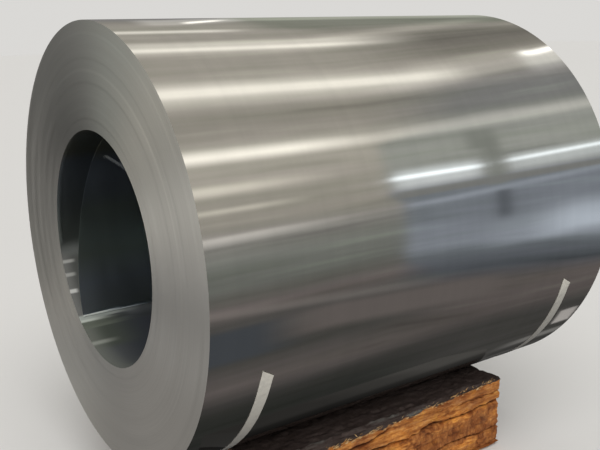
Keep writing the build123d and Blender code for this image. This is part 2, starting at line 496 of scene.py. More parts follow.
class Tree:
    """The nodes of a material, a group or the world. Each input is a socket, a number or a tuple."""

    def __init__(self, tree, owner=None):
        self.nodes, self.links, self.owner = tree.nodes, tree.links, owner

    def join(self, node, inputs):
        """Fill a node's inputs. A tuple for a colour holds three numbers."""
        for label, value in inputs.items():
            socket = node.inputs[label]
            if isinstance(value, bpy.types.NodeSocket):
                self.links.new(value, socket)
            else:
                socket.default_value = (*value, 1) if socket.type == "RGBA" else value

    def add(self, kind, inputs={}, **settings):
        """A new node with its settings and inputs."""
        node = self.nodes.new("ShaderNode" + kind)
        for label, value in settings.items():
            setattr(node, label, value)
        self.join(node, inputs)
        return node

    def group(self, group, inputs={}, label=""):
        return self.add("Group", inputs, node_tree=group, label=label).outputs

    def calc(self, operation, first, second=0.0):
        return self.add("Math", {0: first, 1: second}, operation=operation).outputs[0]

    def fit(self, value, low, high, to_low=0.0, to_high=1.0, kind="LINEAR"):
        """A value carried from one range into another, and kept inside it."""
        inputs = {0: value, 1: low, 2: high, 3: to_low, 4: to_high}
        return self.add("MapRange", inputs, interpolation_type=kind).outputs[0]

    def step(self, value, low, high):
        """A smooth step from 0 to 1 as the value goes from low to high."""
        return self.fit(value, low, high, kind="SMOOTHSTEP")

    def ramp(self, source, stops):
        """A colour ramp with the given (place, colour) stops."""
        node = self.add("ValToRGB", {0: source})
        elements = node.color_ramp.elements
        while len(elements) < len(stops):
            elements.new(0.5)
        for element, (place, colour) in zip(elements, stops):
            element.position = place
            element.color = (*colour, 1)
        return node.outputs[0]

    def ramp_over(self, value, low, high, stops):
        """A colour ramp from low to high, whose stops are placed in the value's own units."""
        placed = [((place - low) / (high - low), colour) for place, colour in stops]
        return self.ramp(self.fit(value, low, high), placed)

    def mix(self, share, first, second, blend="MIX"):
        inputs = {0: share, 6: first, 7: second}
        return self.add("Mix", inputs, data_type="RGBA", blend_type=blend).outputs[2]

    def noise(self, vector, scale, detail=3.0, roughness=0.5):
        inputs = {"Vector": vector, "Scale": scale, "Detail": detail, "Roughness": roughness}
        return self.add("TexNoise", inputs).outputs[0]

    def attribute(self, name):
        return self.add("Attribute", attribute_name=name).outputs["Fac"]

    def place(self):
        return self.add("TexCoord").outputs["Object"]

    def stretched(self, scale):
        return self.add("Mapping", {"Vector": self.place(), "Scale": scale}).outputs[0]

    def bump(self, height, strength, distance):
        inputs = {"Height": height, "Strength": strength, "Distance": distance}
        return self.add("Bump", inputs).outputs[0]

    def shade(self, inputs):
        """Fill the shader of a material, and give the material back."""
        self.join(self.nodes["Principled BSDF"], inputs)
        return self.owner


def new_material(name):
    """A new material, as the tree of its nodes."""
    material = bpy.data.materials.new(name)
    material.use_nodes = True
    return Tree(material.node_tree, material)


def new_group(name, inputs, outputs):
    """An empty node group with float inputs, each with its value, and float outputs."""
    group = bpy.data.node_groups.new(name, "ShaderNodeTree")
    for label, value in inputs.items():
        given = group.interface.new_socket(label, in_out="INPUT", socket_type="NodeSocketFloat")
        given.default_value = value
    for label in outputs:
        group.interface.new_socket(label, in_out="OUTPUT", socket_type="NodeSocketFloat")
    given, result = group.nodes.new("NodeGroupInput"), group.nodes.new("NodeGroupOutput")
    return group, Tree(group), given.outputs, result


def make_coil_places():
    """Group: a point's angle about the coil's axis, in radians and in degrees, its radius and its X."""
    group, tree, _, result = new_group("coil_places", {}, ("Turn", "Degrees", "Radius", "Along"))
    centred = tree.add("Mapping", {"Vector": tree.place(), "Location": (0, 0, -AXIS_Z)})
    x, y, z = tree.add("SeparateXYZ", {0: centred.outputs[0]}).outputs
    squares = tree.calc("ADD", tree.calc("MULTIPLY", y, y), tree.calc("MULTIPLY", z, z))
    turn, radius = tree.calc("ARCTAN2", z, y), tree.calc("SQRT", squares)
    degrees = tree.calc("MULTIPLY", turn, 180 / np.pi)
    tree.join(result, {"Turn": turn, "Degrees": degrees, "Radius": radius, "Along": x})
    return group


def make_rolled_lines():
    """Group: fine lines left by rolling or by the wound edges, running round the coil.

    Across is the coordinate that the lines are counted along, in metres. Each line keeps its
    place all the way round, and fades in and out slowly with the turn.
    """
    inputs = {"Across": 0.0, "Turn": 0.0, "Lines per metre": 400.0}
    group, tree, given, result = new_group("rolled_lines", inputs, ("Fine", "Broad"))
    count = tree.calc("MULTIPLY", given["Across"], given["Lines per metre"])
    sine, cosine = tree.calc("SINE", given["Turn"]), tree.calc("COSINE", given["Turn"])
    fine = tree.add("CombineXYZ", {0: count, 1: sine, 2: cosine}).outputs[0]
    broad = tree.add("VectorMath", {0: fine, 1: (0.04, 0.8, 0.8)}, operation="MULTIPLY").outputs[0]
    tree.join(result, {"Fine": tree.noise(fine, 1.0, 4.0, 0.65), "Broad": tree.noise(broad, 1.0)})
    return group


def make_soiling():
    """Group: patches of dirt, from 0 on clean ground to 1, with a broken edge."""
    group, tree, given, result = new_group("soiling", {"Size": 8.0, "Amount": 0.5}, ["Dirt"])
    lifted = tree.calc("ADD", tree.noise(tree.place(), given["Size"], 8.0, 0.65), given["Amount"])
    tree.join(result, {"Dirt": tree.fit(lifted, 0.9, 1.2)})
    return group


@dataclass
class Patch:
    """A soft-edged patch, placed by degrees round the coil and by a distance along it.

    It is full between top and bottom, in degrees, and between start and end, and it fades out
    over above, below, lead and fade. Past the bend its middle climbs by slant degrees for one
    unit of the distance.
    """

    name: str
    top: float
    bottom: float
    light: float
    colour: tuple
    above: float = 2.0
    below: float = 2.0
    start: float = -4.0
    end: float = 4.0
    lead: float = 0.01
    fade: float = 0.01
    bend: float = 0.0
    slant: float = 0.0


PLACED_BY = ("Top", "Bottom", "Above", "Below", "Start", "End", "Lead", "Fade", "Bend", "Slant")


def make_soft_patch():
    """Group: how fully a soft-edged patch shows at an angle and a distance along, from 0 to 1."""
    inputs = dict.fromkeys(("Angle", "Share") + PLACED_BY, 0.0)
    group, tree, given, result = new_group("soft_patch", inputs, ["Shows"])
    angle, share, top, bottom, above, below, start, end, lead, fade, bend, slant = given[:len(inputs)]
    calc = tree.calc
    past = calc("MAXIMUM", calc("SUBTRACT", share, bend), 0.0)
    level = calc("ADD", angle, calc("MULTIPLY", slant, past))
    upper = tree.step(level, calc("SUBTRACT", top, above), top)
    lower = calc("SUBTRACT", 1.0, tree.step(level, bottom, calc("ADD", bottom, below)))
    across = calc("POWER", calc("MULTIPLY", upper, lower), 1.5)
    begin = tree.step(share, calc("SUBTRACT", start, lead), start)
    stop = calc("SUBTRACT", 1.0, tree.step(share, end, calc("ADD", end, fade)))
    tree.join(result, {"Shows": calc("MULTIPLY", across, calc("MULTIPLY", begin, stop))})
    return group


PLACES = make_coil_places()
LINES = make_rolled_lines()
SOILING = make_soiling()
SOFT_PATCH = make_soft_patch()


def patch_mask(tree, angle, share, patch):
    """How fully a patch shows, as a socket, from 0 outside it to 1 in its middle."""
    placed = {label: getattr(patch, label.lower()) for label in PLACED_BY}
    return tree.group(SOFT_PATCH, {"Angle": angle, "Share": share, **placed}, patch.name)[0]


def steel_lines(tree, across, per_metre):
    """The places group, and the fine and broad lines counted along one of its coordinates."""
    where = tree.group(PLACES)
    inputs = {"Across": where[across], "Turn": where["Turn"], "Lines per metre": per_metre}
    return where, *tree.group(LINES, inputs)[:2]


def shade_round(tree, colour, roughness, normal, smear):
    """Bare metal whose lines run round the X axis, and smear the reflections across themselves."""
    tangent = tree.add("Tangent", direction_type="RADIAL", axis="X").outputs[0]
    return tree.shade({
        "Base Color": colour, "Metallic": 1.0, "Roughness": roughness, "Normal": normal,
        "Tangent": tangent, "Anisotropic": smear, "Anisotropic Rotation": 0.25,
    })


def strip_face():
    """The strip's bright rolled face: warm grey metal, nearly a mirror round the coil."""
    tree = new_material("strip_face")
    _, fine, broad = steel_lines(tree, "Along", 900.0)
    colour = tree.ramp(broad, [(0.3, (0.625, 0.612, 0.585)), (0.7, (0.655, 0.64, 0.61))])
    rough = tree.fit(fine, 0.3, 0.7, 0.06, 0.078)
    return shade_round(tree, colour, rough, tree.bump(fine, 0.0008, 0.0002), 0.35)


EDGE_LEAN = 0.15
RING_GROOVE = 0.00001


def turn_edges():
    """The edges of the turns: satin grey, in fine rings, each leaning outwards as slitting leaves it."""
    tree = new_material("turn_edges")
    where, fine, broad = steel_lines(tree, "Radius", 1100.0)
    colour = tree.ramp(fine, [(0.25, (0.5, 0.495, 0.48)), (0.75, (0.6, 0.59, 0.57))])
    lean = tree.calc("MULTIPLY", where["Radius"], -EDGE_LEAN)
    relief = tree.calc("ADD", lean, tree.calc("MULTIPLY", fine, RING_GROOVE))
    rough = tree.fit(broad, 0.3, 0.7, 0.36, 0.44)
    return shade_round(tree, colour, rough, tree.bump(relief, 1.0, 1.0), 0.8)


# Dust, painted shade, painted light and painted highlights in the bore: degrees round it, and metres in from
# the near end
DEEP_DUST_AND_LIGHT = (
    # Dark blue-grey matt over the bottom is dust with painted shade; lighter matt towards the mouth is
    # painted light, with a greenish matt below the lead near the mouth and a painted highlight along a
    # crease.
    Patch("blue_dust", -172, -58, 1.0, (0.044, 0.049, 0.06), 5, 6),
    Patch("near_dust", -172, -58, 0.8, (0.105, 0.112, 0.112), 5, 6, end=0.01, fade=0.1),
    Patch("green_dust", -72, -54, 0.8, (0.07, 0.082, 0.062), 8, 2, end=0.04, fade=0.11),
    Patch("mouth_dust", -172, -58, 0.7, (0.19, 0.2, 0.175), 5, 6, end=0.0, fade=0.05),
    Patch("crease", -70.5, -69.5, 0.85, (0.34, 0.355, 0.315), 2.2, 2.0, end=0.015, fade=0.06),
)
BORE_DUST_AND_LIGHT = DEEP_DUST_AND_LIGHT + (
    # Painted light below the lead end and round the mouth, painted shade beside the lead end and before the
    # lap, a painted highlight along the lead end, and three short painted highlights near the mouth.
    Patch("below_the_lead", -58, -54, 0.9, (0.15, 0.168, 0.135), 5, 2, end=0.01, fade=0.15),
    Patch("lead_end_shade", -58, -49, 0.9, (0.048, 0.053, 0.058), 4, 0.8, start=0.16, lead=0.1),
    Patch("lead_streak", -53.8, -49.5, 1.0, (0.55, 0.59, 0.53), 1.2, 0.8, end=0.02, fade=0.085),
    Patch("lead_line", -52.4, -49.5, 0.8, (0.38, 0.41, 0.38), 0.8, 0.8, end=0.08, fade=0.08),
    Patch("before_the_lap", -49, -18, 0.95, (0.08, 0.083, 0.076), 2, 13, end=0.05, fade=0.03),
    Patch("rim_dust", -49, -20, 0.65, (0.25, 0.25, 0.24), 2, 14, end=0.0, fade=0.03),
    Patch("upper_rim", -5, 60, 0.28, (0.1, 0.105, 0.1), 14, 10, end=0.0, fade=0.01),
    Patch("upper_scuff", -18.6, -18.0, 0.75, (0.56, 0.56, 0.53), 1.3, 1.2, end=0.018, fade=0.016),
    Patch("middle_scuff", -26.0, -25.2, 0.75, (0.52, 0.52, 0.49), 1.3, 1.2, end=0.014, fade=0.016),
    Patch("lower_scuff", -35.4, -34.2, 0.9, (0.72, 0.72, 0.69), 1.2, 1.0, end=0.012, fade=0.012),
)
LAP_DUST_AND_LIGHT = DEEP_DUST_AND_LIGHT + (
    # A painted highlight along the lead end's lip, and a long painted reflection curving up the lap.
    Patch("lead_edge", -52, -50.2, 1.0, (0.66, 0.7, 0.63), 2, 0.5, end=0.05, fade=0.07,
          bend=0.02, slant=-6),
    Patch("long_edge", -52, -50.5, 0.7, (0.42, 0.46, 0.44), 2, 0.4, end=0.11, fade=0.08),
    Patch("long_scuff", 40.6, 41.6, 0.6, (0.34, 0.36, 0.36), 1.2, 1.2, 0.108, 0.24, 0.01, 0.03,
          bend=0.108, slant=185),
)


def painted_bore_metal(name, shades, dust_and_light):
    """A dull oiled bore face in bands of painted reflection and shade round the bore, made matt where the
    dust and painted-light patches lie.
    """
    tree = new_material(name)
    where, fine, broad = steel_lines(tree, "Along", 500.0)
    depth = tree.calc("SUBTRACT", where["Along"], NEAR_X)
    # Painted reflection and shade: the colour bands by angle round the bore.
    colour = tree.ramp_over(where["Degrees"], -180, 180, shades)
    matt_share = 0.0
    # Each patch paints dust, shade, light or a highlight in matt colour.
    for patch in dust_and_light:
        mask = patch_mask(tree, where["Degrees"], depth, patch)
        mask = tree.calc("MULTIPLY", mask, patch.light)
        colour = tree.mix(mask, colour, patch.colour)
        matt_share = tree.calc("MAXIMUM", mask, matt_share)
    rough = tree.fit(broad, 0.3, 0.7, 0.26, 0.36)
    return tree.shade({
        "Base Color": colour,
        "Metallic": tree.fit(matt_share, 0.0, 1.0, 1.0, 0.05),
        "Roughness": tree.calc("MAXIMUM", rough, tree.calc("MULTIPLY", matt_share, 0.6)),
        "Normal": tree.bump(fine, 0.012, 0.0004),
    })


def bore_face():
    """The second lap's inner face, seen past the lead end and before the first lap's near edge."""
    # Painted reflection and shade: the colour bands by angle stand in for what this face mirrors and how lit
    # it is.
    shades = [
        (-180, (0.42, 0.44, 0.47)), (-60, (0.42, 0.45, 0.48)), (-14, (0.44, 0.47, 0.45)),
        (0, (0.42, 0.47, 0.44)), (14, (0.34, 0.38, 0.39)), (28, (0.27, 0.3, 0.33)),
        (40, (0.24, 0.26, 0.29)), (48, (0.23, 0.225, 0.19)), (180, (0.3, 0.3, 0.3)),
    ]
    return painted_bore_metal("bore_face", shades, BORE_DUST_AND_LIGHT)


def inner_lap_face():
    """The innermost lap: dark, in bands of blue, green and brown grey round the bore, which are painted
    reflection and painted shade.
    """
    shades = [
        (-51, (0.63, 0.73, 0.84)), (-32, (0.61, 0.71, 0.87)), (-17, (0.54, 0.63, 0.61)),
        (8, (0.57, 0.67, 0.62)), (17, (0.5, 0.57, 0.62)), (28, (0.46, 0.51, 0.58)),
        (38, (0.37, 0.4, 0.46)), (48, (0.35, 0.34, 0.26)), (180, (0.4, 0.4, 0.38)),
    ]
    return painted_bore_metal("inner_lap_face", shades, LAP_DUST_AND_LIGHT)


# How much painted shade greys each tape towards its lower end, from none to wholly grey, in degrees round
# the coil less a full turn
NEAR_TAPE_SHADE = (
    (-164, 0.0), (-160, 0.08), (-156, 0.22), (-152, 0.36),
    (-148, 0.48), (-142, 0.62), (-136, 0.8), (-124, 1.0),
)
FAR_TAPE_SHADE = (
    (-164, 0.02), (-161, 0.16), (-157, 0.4), (-153, 0.54),
    (-148, 0.62), (-142, 0.7), (-136, 0.82), (-124, 1.0),
)


def paper_tape(name, shade_stops):
    """Cream paper tape: matt, with faint fibres and smudges, and a painted shade that greys it towards the
    ground.
    """
    tree = new_material(name)
    fibres = tree.noise(tree.place(), 900.0, 4.0, 0.6)
    colour = tree.ramp(fibres, [(0.3, (0.66, 0.635, 0.56)), (0.7, (0.76, 0.735, 0.67))])
    dirt = tree.group(SOILING, {"Size": 60.0, "Amount": 0.42})[0]
    # Painted shade: the tape turns grey towards its lower end.
    stops = [(angle, (share,) * 3) for angle, share in shade_stops]
    painted_shade = tree.ramp_over(tree.group(PLACES)["Degrees"], shade_stops[0][0], shade_stops[-1][0], stops)
    smudged = tree.mix(dirt, colour, (0.5, 0.48, 0.44))
    return tree.shade({
        "Base Color": tree.mix(painted_shade, smudged, (0.2, 0.2, 0.195)),
        "Roughness": 0.75,
        "Normal": tree.bump(fibres, 0.25, 0.0003),
    })


def hewn_timber():
    """Rough orange-brown softwood: grain along X, tool strokes across it, splits and old skin; painted shade
    darkens the splits and the top, and a painted sheen greys the skin's edge.
    """
    tree = new_material("hewn_timber")
    grain = tree.noise(tree.stretched((0.12, 1.0, 1.0)), 130.0, 7.0, 0.68)
    strokes = tree.noise(tree.stretched((1.0, 0.5, 0.42)), 85.0, 8.0, 0.72)
    patches = tree.noise(tree.stretched((0.6, 1.0, 1.0)), 34.0, 8.0, 0.72)
    lumps = tree.noise(tree.stretched((0.45, 1.0, 1.0)), 16.0, 4.0, 0.6)
    golden = tree.ramp(grain, [
        (0.3, (0.17, 0.05, 0.012)), (0.43, (0.42, 0.16, 0.038)),
        (0.56, (0.58, 0.265, 0.078)), (0.72, (0.78, 0.47, 0.21)),
    ])
    reddish = tree.ramp(strokes, [
        (0.32, (0.115, 0.034, 0.01)), (0.45, (0.3, 0.105, 0.03)),
        (0.57, (0.44, 0.185, 0.056)), (0.72, (0.6, 0.3, 0.11)),
    ])
    tints = tree.ramp(patches, [
        (0.34, (0.27, 0.16, 0.12)), (0.44, (0.78, 0.67, 0.62)),
        (0.55, (1.06, 1.01, 0.9)), (0.66, (1.18, 1.24, 0.72)),
    ])
    shades = tree.ramp(lumps, [
        (0.38, (0.66, 0.57, 0.6)), (0.5, (1.0, 0.99, 0.98)), (0.62, (1.36, 1.34, 1.1)),
    ])
    low_wood = tree.mix(tree.step(lumps, 0.54, 0.62), reddish, golden)
    wood = tree.mix(tree.calc("MULTIPLY", tree.attribute("lower"), 0.85), golden, low_wood)
    wood = tree.mix(0.9, wood, tints, "MULTIPLY")
    wood = tree.mix(0.9, wood, shades, "MULTIPLY")

    old = tree.noise(tree.stretched((0.2, 1.0, 1.0)), 90.0, 5.0, 0.65)
    skin_and_shade_colour = tree.ramp(old, [
        (0.3, (0.036, 0.024, 0.02)), (0.55, (0.064, 0.046, 0.041)), (0.75, (0.105, 0.08, 0.07)),
    ])
    # Painted sheen: a lighter grey along the skin's torn edge and the top's outer arris, broken up by noise.
    wear_and_sheen = tree.calc("MULTIPLY", tree.attribute("edge"), tree.step(old, 0.42, 0.66))
    skin_and_shade_colour = tree.mix(wear_and_sheen, skin_and_shade_colour, (0.135, 0.135, 0.122))
    dirt = tree.group(SOILING, {"Size": 16.0, "Amount": 0.3})[0]
    # The old skin and real dirt patches take the dark skin colour; over the whole top this colour is a
    # painted shade.
    wood = tree.mix(tree.calc("MAXIMUM", tree.attribute("skin"), dirt), wood, skin_and_shade_colour)
    # Painted shade: the splits darken to a deep red-brown.
    wood = tree.mix(tree.step(tree.attribute("split"), 0.16, 0.8), wood, (0.115, 0.03, 0.01))
    relief = tree.calc("ADD", grain, tree.calc("MULTIPLY", strokes, 0.6))
    relief = tree.calc("ADD", relief, tree.calc("MULTIPLY", patches, 1.2))
    return tree.shade({
        "Base Color": wood,
        "Roughness": 0.85,
        "Specular IOR Level": 0.3,
        "Normal": tree.bump(relief, 0.6, 0.003),
    })


def torn_fibre():
    """Fresh torn fibres: pale straw to orange, each in its own shade."""
    tree = new_material("torn_fibre")
    shade = tree.noise(tree.place(), 260.0, 2.0, 0.5)
    return tree.shade({
        "Base Color": tree.ramp(shade, [
            (0.35, (0.42, 0.19, 0.055)), (0.5, (0.6, 0.36, 0.14)), (0.68, (0.72, 0.55, 0.31)),
        ]),
        "Roughness": 0.8,
        "Normal": tree.bump(shade, 0.3, 0.001),
    })


# Studio

FLOOR_HALF = 40.0


def make_floor():
    """A wide pale floor."""
    look = {"Base Color": (0.8, 0.79, 0.77), "Roughness": 0.9, "Specular IOR Level": 0.1}
    corners = np.array([(-1, -1, 0), (1, -1, 0), (1, 1, 0), (-1, 1, 0)]) * FLOOR_HALF
    new_mesh("floor", corners, ONE_QUAD, new_material("pale_floor").shade(look))


def camera_point():
    """The camera's place in metres, from its place in coil radii."""
    x, y, z = CAMERA_PLACE
    return Vector((NEAR_X + x * COIL_R, y * COIL_R, AXIS_Z + z * COIL_R))


def make_camera():
    """The photograph's camera: azimuth, then down, then roll about its own axis."""
    data = bpy.data.cameras.new("camera")
    data.lens = LENS
    data.sensor_width = 36.0
    camera = new_object("camera", data)
    turn = Matrix.Rotation(rad(-CAMERA_AZIMUTH), 4, "Z")
    tilt = Matrix.Rotation(rad(90 - CAMERA_DOWN), 4, "X")
    roll = Matrix.Rotation(rad(-CAMERA_ROLL), 4, "Z")
    camera.matrix_world = Matrix.Translation(camera_point()) @ turn @ tilt @ roll
    bpy.context.scene.camera = camera


def make_card(name, points, faces, material):
    """A glowing part of the studio, seen only in reflections."""
    card = new_mesh(name, points, faces, material)
    card.visible_camera = False
    card.visible_diffuse = False
    card.visible_transmission = False
    card.visible_shadow = False
    return card


def new_glow(name, light=1.0, colour=(1.0, 1.0, 1.0)):
    """The nodes of a material that glows evenly, and its Emission shader."""
    tree = new_material(name)
    tree.nodes.clear()
    emission = tree.add("Emission", {"Color": colour, "Strength": light})
    tree.add("OutputMaterial", {"Surface": emission.outputs[0]})
    return tree, emission


# The tent: what the bright wall mirrors. It is seen by reflections alone.

TENT_R = 3.4
TENT_LIFT = 0.003
TENT_FIRST = 82.0
TENT_LAST = 236.0
TENT_SHARES = (-3.0, 3.5, 14)


def mirrored(angle, share):
    """Where the camera looks in the tent, by way of a place on the coil's wall.

    angle is the place round the coil, and share runs along the strip's width from the near end.
    In the YZ plane the ray turns by the mirror law alone, so its course there depends only on
    the angle. It stops at the tent's arch or just over the floor, and X runs on in proportion.
    """
    view = camera_point()
    out = np.stack([np.cos(rad(angle)), np.sin(rad(angle))])
    to_view = np.array([view.y, view.z - AXIS_Z])[:, None, None] - COIL_R * out
    reach = np.hypot(*to_view)
    away = (2 * (to_view * out).sum(0) * out - to_view) / reach
    middle = COIL_R * (out * away).sum(0)
    arch = np.sqrt(middle**2 + TENT_R**2 - COIL_R**2) - middle
    drop = AXIS_Z - TENT_LIFT + COIL_R * out[1]
    floor = np.where(away[1] < 0, drop / np.clip(-away[1], 1e-6, None), np.inf)
    distance = np.minimum(arch, floor)
    on_coil = NEAR_X + share * STRIP_WIDTH
    y, z = COIL_R * out + away * distance
    return np.stack([on_coil + (on_coil - view.x) / reach * distance, y, AXIS_Z + z], -1)


def make_tent():
    """The arch over the coil and the floor before it, with the same floor again behind the coil."""
    angle = np.arange(TENT_FIRST, TENT_LAST + 0.1, 1.0)[:, None]
    angle, share = np.broadcast_arrays(angle, np.linspace(*TENT_SHARES))
    points = mirrored(angle, share)
    on_floor = (points[..., 2] < TENT_LIFT * 2).all(1)
    behind = points[on_floor] * [1.0, -1.0, 1.0]
    quads = [grid_quads(*angle.shape), grid_quads(*behind.shape[:2]) + angle.size]
    tent = make_card("tent", np.concatenate([points, behind]), np.concatenate(quads), tent_light())
    layers = {"angle": angle, "share": share}
    set_layers(tent, {name: np.concatenate([values, values[on_floor]]) for name, values in layers.items()})


WARM = (1.0, 0.96, 0.85)
CREAM = (1.0, 0.975, 0.9)
GREY = (1.0, 0.98, 0.94)
GREEN = (0.94, 1.0, 0.92)
MOSS = (0.96, 1.0, 0.84)
MIST = (0.96, 0.99, 0.98)
BLUE = (0.85, 0.955, 1.11)
BROWN = (1.08, 0.96, 0.93)
PINK = (1.03, 0.98, 0.95)
TUBE = (0.9, 1.0, 1.08)

# The tent's cloth, in degrees round the coil, light and colour: towards the near and the far end
NEAR_CLOTH = (
    (84, 0.15, GREEN), (92, 0.19, GREY), (97, 0.24, GREY), (102, 0.33, WARM), (106, 0.44, WARM),
    (113, 0.44, WARM), (130, 0.49, WARM), (143, 0.4, WARM), (147, 0.46, WARM), (152.5, 0.56, WARM),
    (158, 0.47, WARM), (164, 0.41, WARM), (168, 0.35, GREY), (172, 0.25, GREEN), (177, 0.18, GREEN),
    (182, 0.16, BROWN), (185, 0.1, GREY), (194, 0.085, GREY), (201, 0.135, BROWN),
    (206, 0.057, GREY), (211, 0.036, GREEN), (224, 0.028, GREEN),
)
FAR_CLOTH = (
    (84, 0.24, MOSS), (96, 0.42, MOSS), (98.5, 0.4, MOSS), (100.8, 0.27, MOSS), (105.5, 0.27, MOSS),
    (109.5, 0.35, WARM), (118, 0.2, WARM), (126, 0.34, WARM), (135, 0.34, GREY), (139, 0.27, MIST),
    (143, 0.27, MIST), (154, 0.46, GREEN), (162, 0.4, MIST), (164, 0.29, BLUE), (172, 0.285, BLUE),
    (178, 0.33, BLUE), (181, 0.3, BLUE), (184, 0.18, BLUE), (188, 0.105, BLUE), (193, 0.14, BROWN),
    (201, 0.11, BROWN), (206, 0.067, GREY), (224, 0.064, GREY),
)
# Where one cloth gives way to the other: degrees, share of the width, half the change, and the slope
# of the far cloth's bands, in degrees up for one width of the strip
CLOTH_TURNS = (
    (84, 0.3, 0.08, 0), (102, 0.28, 0.06, 0), (108, 0.3, 0.08, 7), (114, 0.53, 0.18, 13),
    (134, 0.55, 0.2, 9), (149, 0.46, 0.14, 6), (151.5, 0.378, 0.008, 2), (164, 0.378, 0.008, 0),
    (166, 0.404, 0.008, -2), (180, 0.404, 0.02, -10), (190, 0.46, 0.16, -16), (203, 0.5, 0.18, -6),
    (236, 0.5, 0.18, 0),
)
MOST_SLOPE = 20.0
SLOPE_FROM = 0.38
FAR_SHARE = 0.73
SIDE_CLOTH = (0.33, 0.315, 0.295)

# Cards cover the cloth and lamps add to it. Both are placed by degrees and by a share of the width
CARDS = (
    Patch("doorway", 176.5, 180, 0.62, BLUE, 6, 4, start=0.9, lead=0.2, bend=0.9, slant=-10),
    Patch("post_head", 151.5, 155, 0.31, GREEN, start=0.603, end=0.665, lead=0.02, fade=0.02),
    Patch("post", 154, 165, 0.28, GREEN, below=1, start=0.632, end=0.672, lead=0.015, fade=0.012),
    Patch("post_foot", 167.5, 172.5, 0.12, BLUE, 1.5, 4, start=0.647, end=0.676),
    Patch("dark_rail", 163.6, 164.6, 0.27, MIST, 0.8, 0.8, start=0.4),
    Patch("cool_shade", 187, 193, 0.085, BLUE, below=2.5, end=0.07, fade=0.14),
    Patch("pale_line", 222.2, 224.0, 0.2, GREY, 1.6, 2.2, start=0.91, lead=0.17),
    Patch("low_shade", 227, 229, 0.045, GREY, above=1.2, start=0.79, lead=0.03),
    Patch("pale_block", 211.6, 217.3, 0.46, PINK, 0.8, 0.9, 0.932, 0.988, 0.006, 0.006),
    Patch("floor_glow", 187, 190.5, 0.15, BROWN, 2.5, 3, 0.24, 0.58, 0.16, 0.12, bend=0.25, slant=-9),
)

LAMPS = (
    Patch("flare", 103.0, 103.6, 1.0, CREAM, 2.0, 1.4, 0.175, 0.215, 0.03, 0.06, bend=0.13, slant=34),
    Patch("flare_wide", 99, 103, 0.22, GREY, 4, 3, 0.1, 0.26, 0.05, 0.06, bend=0.13, slant=20),
    Patch("crown", 109.5, 109.5, 0.6, CREAM, 1.9, 1.9, end=0.17, fade=0.12),
    Patch("high", 118.9, 119.2, 0.42, CREAM, 1.5, 1.5, end=0.34, fade=0.28, bend=0.3, slant=2),
    Patch("high_glow", 117.4, 118.9, 0.42, CREAM, 3.4, 4.2, end=0.36, fade=0.34, bend=0.3, slant=4),
    Patch("high_end", 115.5, 115.5, 0.13, WARM, 5, 5, 0.45, 0.8, 0.1, 0.2, bend=0.45, slant=24),
    Patch("shoulder", 133.6, 134.2, 0.5, CREAM, 2.4, 2.0, end=0.52, fade=0.22, bend=0.5, slant=6),
    Patch("shoulder_glow", 132.6, 135.4, 0.42, CREAM, 4.2, 4.8, end=0.5, fade=0.24, bend=0.5, slant=6),
    Patch("shoulder_band", 130.0, 134.4, 0.23, WARM, 4, 3, 0.64, lead=0.16, bend=0.64, slant=14),
    Patch("window", 126.6, 126.6, 1.4, GREY, 2.2, 2.4, 0.898, lead=0.015, bend=0.93, slant=24),
    Patch("window_glow", 126.8, 130.4, 0.33, MIST, 2.6, 7, 0.89, lead=0.03, bend=0.93, slant=20),
    Patch("middle", 149.6, 149.6, 0.3, CREAM, 4.4, 3.2, bend=0.38, slant=5),
    Patch("middle_near", 149.7, 149.7, 0.66, CREAM, 2.8, 2.6, end=0.18, fade=0.22),
    Patch("low", 156.7, 156.8, 0.48, WARM, 2.0, 2.4, end=0.04, fade=0.26),
    Patch("low_line", 161.2, 161.2, 0.34, WARM, 1.1, 1.1, end=0.08, fade=0.16),
    Patch("tube_glow", 159.3, 161.6, 0.44, TUBE, 2.2, 2.6, 0.396, 0.606, 0.004, 0.006),
    Patch("tube", 160.0, 160.2, 1.02, TUBE, 0.9, 0.9, 0.388, 0.612, 0.004, 0.006),
    Patch("next_tube_glow", 159.3, 161.4, 0.34, TUBE, 2.2, 3.0, 0.7, lead=0.008, bend=0.68, slant=2),
    Patch("next_tube", 159.8, 159.9, 0.84, TUBE, 0.9, 0.9, 0.692, lead=0.008, bend=0.68, slant=3),
    Patch("line", 166.7, 166.8, 0.36, GREY, 0.9, 2.2, end=0.04, fade=0.3),
    Patch("line_end", 166.8, 166.9, 0.13, BLUE, 1.2, 1.6, 0.42, bend=0.5, slant=3),
    Patch("pane", 176.5, 181, 0.09, BLUE, above=4, start=0.74, lead=0.2, bend=0.73, slant=-14),
    Patch("sill", 182.2, 182.4, 0.07, BROWN, 2.0, 1.6, end=0.34, fade=0.2, slant=-9),
)


def lit(light, colour):
    """A colour at the given strength of light."""
    return tuple(light * part for part in colour)


